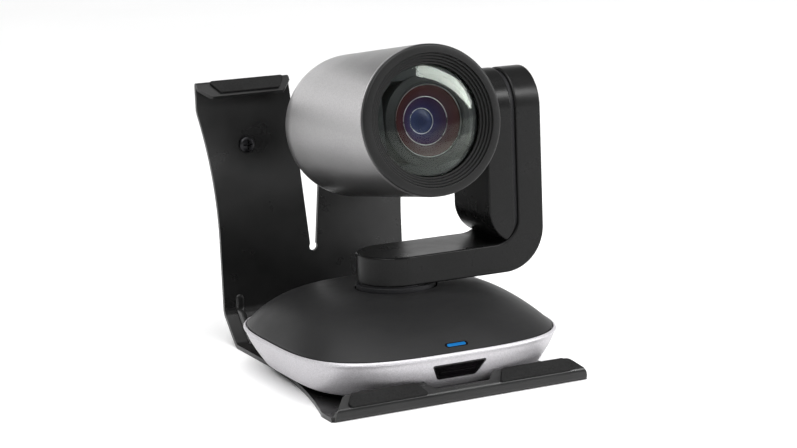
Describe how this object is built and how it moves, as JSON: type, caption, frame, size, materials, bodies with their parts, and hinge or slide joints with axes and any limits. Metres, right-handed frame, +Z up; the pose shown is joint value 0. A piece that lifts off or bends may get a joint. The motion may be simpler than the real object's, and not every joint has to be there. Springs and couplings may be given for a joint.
{
  "type": "ptz camera",
  "caption": "Pan-tilt-zoom conference camera: silver barrel head on a black side arm over a domed base, standing in a bent sheet-steel wall bracket.",
  "frame": {"origin": "on the pan axis at the underside of the mounting bracket", "axes": "+Z up along the pan axis, -Y the way the lens looks, +X towards the tilt arm"},
  "size_m": [0.1328, 0.1755, 0.1539],
  "materials": {
    "black_steel": "powder coat, fine texture",
    "rubber": "matte",
    "dark_screw": "black oxide",
    "steel": "satin",
    "silver_paint": "fine silver paint",
    "charcoal_plastic": "satin, very fine grain",
    "black_plastic": "matte",
    "brass": "turned",
    "smoked_plastic": "smoked gloss",
    "component_black": "moulded",
    "blue_light": "glowing diffuser",
    "circuit_board": "solder mask",
    "zinc_steel": "zinc plated",
    "gear_plastic": "acetal",
    "satin_black": "satin",
    "bezel_black": "satin",
    "clear_glass": "polished, coated",
    "coated_glass": "polished, purple coating"
  },
  "bodies": {
    "base": {"bracket": "black_steel", "lip_pads": "rubber", "flange_pads": "rubber", "wall_screws": "dark_screw", "tripod_screw": "steel", "base_shell": "silver_paint", "top_cover": "charcoal_plastic", "base_plate": "black_plastic", "base_feet": "rubber", "tripod_insert": "brass", "ir_window": "smoked_plastic", "ir_receiver": "component_black", "led_bar": "blue_light", "main_board": "circuit_board", "socket_panel": "black_plastic", "power_jack": "component_black", "data_socket": "steel", "chassis": "zinc_steel", "pan_bearing": "steel", "pan_motor": "zinc_steel", "base_screws": "steel"},
    "pan_pinion": {"pan_pinion": "brass"},
    "arm": {"pan_hub": "black_plastic", "pan_gear": "gear_plastic", "hub_screws": "steel", "arm_frame": "satin_black", "arm_seam": "black_plastic", "drive_housing": "satin_black", "tilt_motor": "zinc_steel", "tilt_bearing": "steel"},
    "tilt_pinion": {"tilt_pinion": "brass"},
    "head": {"head_shell": "silver_paint", "front_bezel": "bezel_black", "front_glass": "clear_glass", "baffle": "black_plastic", "lens_barrel": "black_plastic", "front_element": "coated_glass", "lens_mount": "zinc_steel", "guide_rods": "steel", "sensor_board": "circuit_board", "image_sensor": "component_black", "lens_motors": "zinc_steel", "tilt_collar": "black_plastic", "tilt_shaft": "steel", "tilt_gear": "gear_plastic"},
    "zoom": {"zoom_group": "black_plastic"},
    "focus": {"focus_group": "black_plastic"}
  },
  "joints": [
    {"name": "pan", "type": "hinge", "parent": "base", "child": "arm", "pos_m": [0, 0, 0], "axis": [0, 0, 1], "range_deg": [-130, 130]},
    {"name": "pan_pinion_spin", "type": "hinge", "parent": "base", "child": "pan_pinion", "pos_m": [0, 0.022, 0], "axis": [0, 0, 1], "range_deg": [-350, 350]},
    {"name": "tilt", "type": "hinge", "parent": "arm", "child": "head", "pos_m": [0, 0, 0.1147], "axis": [1, 0, 0], "range_deg": [-32, 98]},
    {"name": "tilt_pinion_spin", "type": "hinge", "parent": "arm", "child": "tilt_pinion", "pos_m": [0, 0, 0.0967], "axis": [1, 0, 0], "range_deg": [-200, 70]},
    {"name": "zoom_slide", "type": "slide", "parent": "head", "child": "zoom", "axis": [0, 0.9906, -0.1366], "range_m": [0, 0.016]},
    {"name": "focus_slide", "type": "slide", "parent": "head", "child": "focus", "axis": [0, 0.9906, -0.1366], "range_m": [-0.002, 0.003]}
  ],
  "couplings": [
    {"joint": "pan_pinion_spin", "follows": "pan", "ratio": -2.6667},
    {"joint": "tilt_pinion_spin", "follows": "tilt", "ratio": -2}
  ]
}
